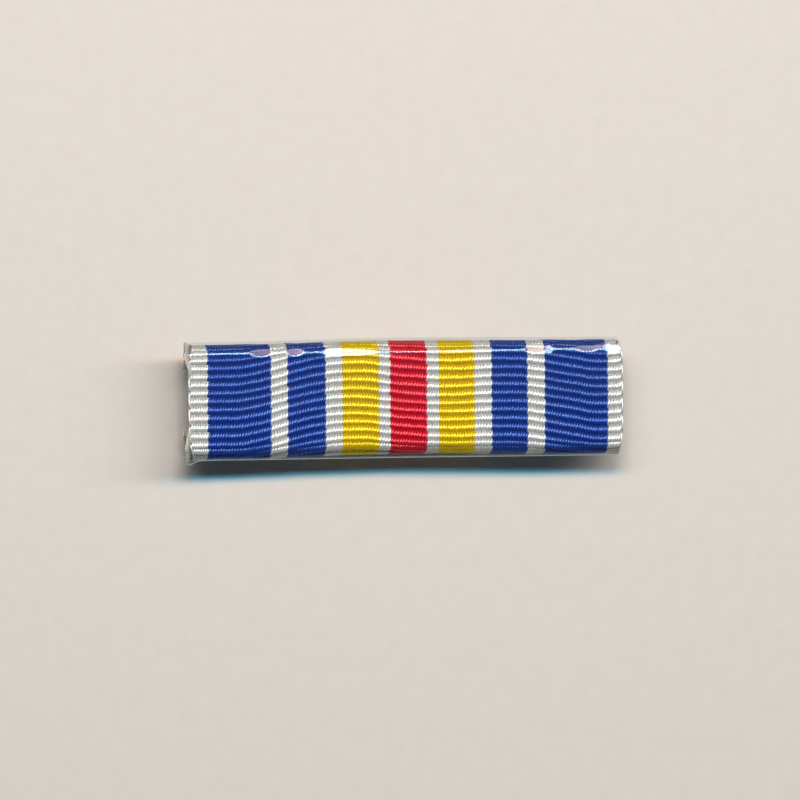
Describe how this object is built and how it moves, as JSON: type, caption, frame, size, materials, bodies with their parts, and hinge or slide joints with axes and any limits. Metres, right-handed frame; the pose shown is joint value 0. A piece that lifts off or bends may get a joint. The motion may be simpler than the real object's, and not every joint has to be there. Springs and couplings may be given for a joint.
{
  "type": "ribbon bar",
  "caption": "Slim ribbon bar to wear on a uniform: a striped, ribbed ribbon wound round a metal channel, under clear film, with a brooch pin on its back.",
  "frame": {"origin": "middle of the bar, on the surface that the pin lies on", "axes": "+X along the bar to the right of its face, +Y to its upper edge when worn, +Z the way its face looks"},
  "size_m": [0.0372, 0.01, 0.0051],
  "materials": {
    "channel_brass": "stamped sheet, dulled, with fine scratches",
    "woven_ribbon": "silky ribbed weave in blue, white, yellow and red stripes",
    "clear_film": "thin clear glossy film with small creases at the edges",
    "plated_steel": "nickel plated, lightly worn"
  },
  "bodies": {
    "root": {"carrier": "channel_brass", "ribbon": "woven_ribbon", "cover_film": "clear_film", "brooch_pin": "plated_steel"}
  },
  "joints": []
}
